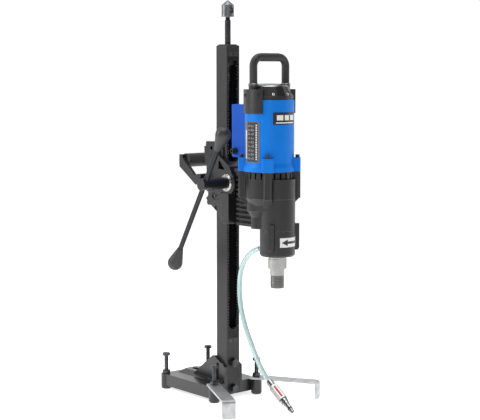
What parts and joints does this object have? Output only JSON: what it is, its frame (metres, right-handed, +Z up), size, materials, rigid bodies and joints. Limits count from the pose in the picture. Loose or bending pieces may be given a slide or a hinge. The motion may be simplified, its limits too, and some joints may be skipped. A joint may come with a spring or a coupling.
{
  "type": "core drill rig",
  "caption": "Diamond core drill rig: square column with rack on a bolt-down cast base, hand-cranked feed carriage carrying a blue electric drill with gearbox, threaded spindle and water hose",
  "frame": {"origin": "on the floor, below the middle of the plan outline of base, stabiliser bars and drill, without the water hose and its coupler", "axes": "+X forward from the column to the drill, +Y away from the feed crank, +Z up along the column"},
  "size_m": [0.4477, 0.319, 0.9705],
  "materials": {
    "casting_black": "satin black powder coat over cast iron",
    "tube_black": "satin black powder coat",
    "rack_black": "black oxide, oiled",
    "black_oxide": "black oxide",
    "zinc": "bright zinc plate",
    "bar_zinc": "zinc plate, satin",
    "turned_steel": "turned steel",
    "grip_black": "moulded grip, matt",
    "knob_black": "moulded knob, matt",
    "bracket_black": "black painted casting with fins",
    "gearbox_grey": "dark grey die casting, satin",
    "housing_blue": "blue moulded shell, semi gloss",
    "box_blue": "blue moulded box, semi gloss",
    "cap_black": "black moulding",
    "plate_black": "printed plate, black ground",
    "plate_silver": "printed plate, silver ground",
    "lamination": "stacked laminations",
    "copper": "copper",
    "carbon": "carbon",
    "bearing_steel": "ground steel",
    "pad_polymer": "sliding polymer",
    "ring_steel": "ridged turned steel",
    "fan_plastic": "moulded",
    "gear_steel": "hardened steel",
    "seal_rubber": "nitrile rubber",
    "hose_clear": "translucent pale aqua vinyl",
    "coupler_chrome": "nickel plate",
    "inlet_brass": "nickel plated brass"
  },
  "bodies": {
    "stand": {"base": "casting_black", "column": "tube_black", "rack": "rack_black", "rack_screws": "black_oxide", "top_plug": "tube_black", "column_bolts": "black_oxide", "column_washers": "black_oxide", "foot_lock_nuts": "black_oxide"},
    "jack": {"jack_screw": "turned_steel"},
    "foot_bolt_front_left": {"levelling_bolt_front_left": "black_oxide"},
    "foot_bolt_front_right": {"levelling_bolt_front_right": "black_oxide"},
    "foot_bolt_rear_left": {"levelling_bolt_rear_left": "black_oxide"},
    "foot_bolt_rear_right": {"levelling_bolt_rear_right": "black_oxide"},
    "stabiliser_left": {"stabiliser_bar_left": "bar_zinc"},
    "stabiliser_right": {"stabiliser_bar_right": "bar_zinc"},
    "rotor": {"rotor_shaft": "gear_steel", "rotor_core": "lamination", "commutator": "copper", "fan": "fan_plastic"},
    "layshaft": {"layshaft": "gear_steel"},
    "spindle": {"spindle": "turned_steel", "output_gear": "gear_steel"},
    "crank": {"pinion_shaft": "gear_steel", "crank_hub": "casting_black", "hub_screw": "zinc"},
    "tommy": {"tommy_bar": "black_oxide", "tommy_knobs": "knob_black"},
    "carriage": {"carriage_body": "casting_black", "gib_screws": "black_oxide", "guide_pads": "pad_polymer", "pinion_bushes": "ring_steel", "rear_handle_frame": "casting_black", "rear_handle_grip": "grip_black", "rear_handle_screws": "black_oxide", "motor_bracket": "bracket_black", "bracket_screws": "black_oxide", "gearbox_case": "gearbox_grey", "gear_nose": "gearbox_grey", "nose_screws": "black_oxide", "motor_housing": "housing_blue", "housing_screws": "black_oxide", "switch_box": "box_blue", "cable_gland": "seal_rubber", "top_cap": "cap_black", "brush_covers": "cap_black", "carry_handle": "grip_black", "front_plate": "plate_black", "rating_plate": "plate_silver", "stator": "lamination", "brushes": "carbon", "rotor_bearings": "bearing_steel", "layshaft_bearings": "bearing_steel", "spindle_bearings": "bearing_steel", "spindle_seal": "seal_rubber", "hose_fitting": "inlet_brass", "water_hose": "hose_clear", "hose_ferrule": "coupler_chrome", "coupler_body": "coupler_chrome", "coupler_nipple": "coupler_chrome", "coupler_o_ring": "seal_rubber"}
  },
  "joints": [
    {"name": "jack_travel", "type": "slide", "parent": "stand", "child": "jack", "axis": [0, 0, 1], "range_m": [-0.058, 0.065]},
    {"name": "stabiliser_left_swing", "type": "hinge", "parent": "stand", "child": "stabiliser_left", "pos_m": [0.006, -0.07261, 0.041], "axis": [0, 0, 1], "range_deg": [-40, 25]},
    {"name": "stabiliser_right_swing", "type": "hinge", "parent": "stand", "child": "stabiliser_right", "pos_m": [0.006, 0.06339, 0.041], "axis": [0, 0, 1], "range_deg": [-29, 40]},
    {"name": "carriage_feed", "type": "slide", "parent": "stand", "child": "carriage", "axis": [0, 0, 1], "range_m": [-0.285, 0.232]},
    {"name": "crank_turn", "type": "hinge", "parent": "carriage", "child": "crank", "pos_m": [0.01275, -0.04461, 0.534], "axis": [0, -1, 0], "range_deg": [-925, 755]},
    {"name": "tommy_slide", "type": "slide", "parent": "crank", "child": "tommy", "axis": [0.5, 0, 0.866], "range_m": [-0.08, 0.172]},
    {"name": "spindle_spin", "type": "hinge", "parent": "carriage", "child": "spindle", "pos_m": [0.158, -0.00461, 0.4], "axis": [0, 0, 1], "continuous": true},
    {"name": "layshaft_spin", "type": "hinge", "parent": "carriage", "child": "layshaft", "pos_m": [0.11986, -0.03121, 0.47], "axis": [0, 0, 1], "continuous": true},
    {"name": "rotor_spin", "type": "hinge", "parent": "carriage", "child": "rotor", "pos_m": [0.129, -0.00461, 0.6], "axis": [0, 0, 1], "continuous": true},
    {"name": "foot_bolt_front_left_travel", "type": "slide", "parent": "stand", "child": "foot_bolt_front_left", "axis": [0, 0, 1], "range_m": [-0.03, 0.02]},
    {"name": "foot_bolt_front_right_travel", "type": "slide", "parent": "stand", "child": "foot_bolt_front_right", "axis": [0, 0, 1], "range_m": [-0.03, 0.02]},
    {"name": "foot_bolt_rear_left_travel", "type": "slide", "parent": "stand", "child": "foot_bolt_rear_left", "axis": [0, 0, 1], "range_m": [-0.03, 0.02]},
    {"name": "foot_bolt_rear_right_travel", "type": "slide", "parent": "stand", "child": "foot_bolt_rear_right", "axis": [0, 0, 1], "range_m": [-0.03, 0.02]}
  ],
  "couplings": [
    {"joint": "crank_turn", "follows": "carriage_feed", "rad_per_m": 55.556},
    {"joint": "layshaft_spin", "follows": "spindle_spin", "ratio": -3.1333},
    {"joint": "rotor_spin", "follows": "spindle_spin", "ratio": 8.6167}
  ]
}
